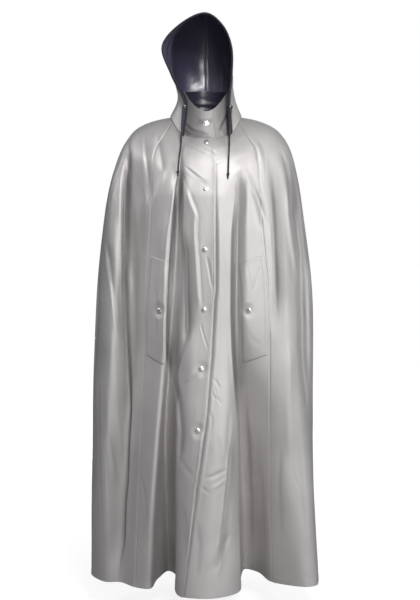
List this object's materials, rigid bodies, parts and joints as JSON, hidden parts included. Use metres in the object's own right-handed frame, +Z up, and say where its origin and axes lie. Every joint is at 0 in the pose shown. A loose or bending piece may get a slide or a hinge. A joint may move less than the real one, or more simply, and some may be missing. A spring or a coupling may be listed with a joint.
{
  "type": "hooded rain cape",
  "caption": "Full-length hooded rain cape in silver-grey coated cloth, worn and hollow, with a snap front, arm slits and drawcord hood.",
  "frame": {"origin": "middle of the neck opening at shoulder height, where the wearer carries the cape", "axes": "+Z up along the cape's length, -Y to its front, +X to the wearer's left"},
  "size_m": [0.6731, 0.4266, 1.6312],
  "materials": {
    "silver_coated_cloth": "smooth coated cloth, soft silver-grey sheen",
    "navy_casing": "dark navy cloth strip, matt",
    "navy_cord": "dark navy braided cord, matt",
    "white_metal": "satin white metal"
  },
  "bodies": {
    "root": {"back": "silver_coated_cloth", "collar": "silver_coated_cloth", "cord_left": "navy_cord", "cord_right": "navy_cord", "eyelet_left": "white_metal", "eyelet_right": "white_metal", "front_left": "silver_coated_cloth", "front_right": "silver_coated_cloth", "hood_casing": "navy_casing", "hood_left": "silver_coated_cloth", "hood_right": "silver_coated_cloth", "knot_left": "navy_cord", "knot_right": "navy_cord", "side_left": "silver_coated_cloth", "side_right": "silver_coated_cloth", "snap_collar": "white_metal", "snap_front_1": "white_metal", "snap_front_2": "white_metal", "snap_front_3": "white_metal", "snap_front_4": "white_metal", "snap_front_5": "white_metal", "snap_front_6": "white_metal", "snap_welt_left": "white_metal", "snap_welt_right": "white_metal", "welt_left": "silver_coated_cloth", "welt_right": "silver_coated_cloth"}
  },
  "joints": []
}
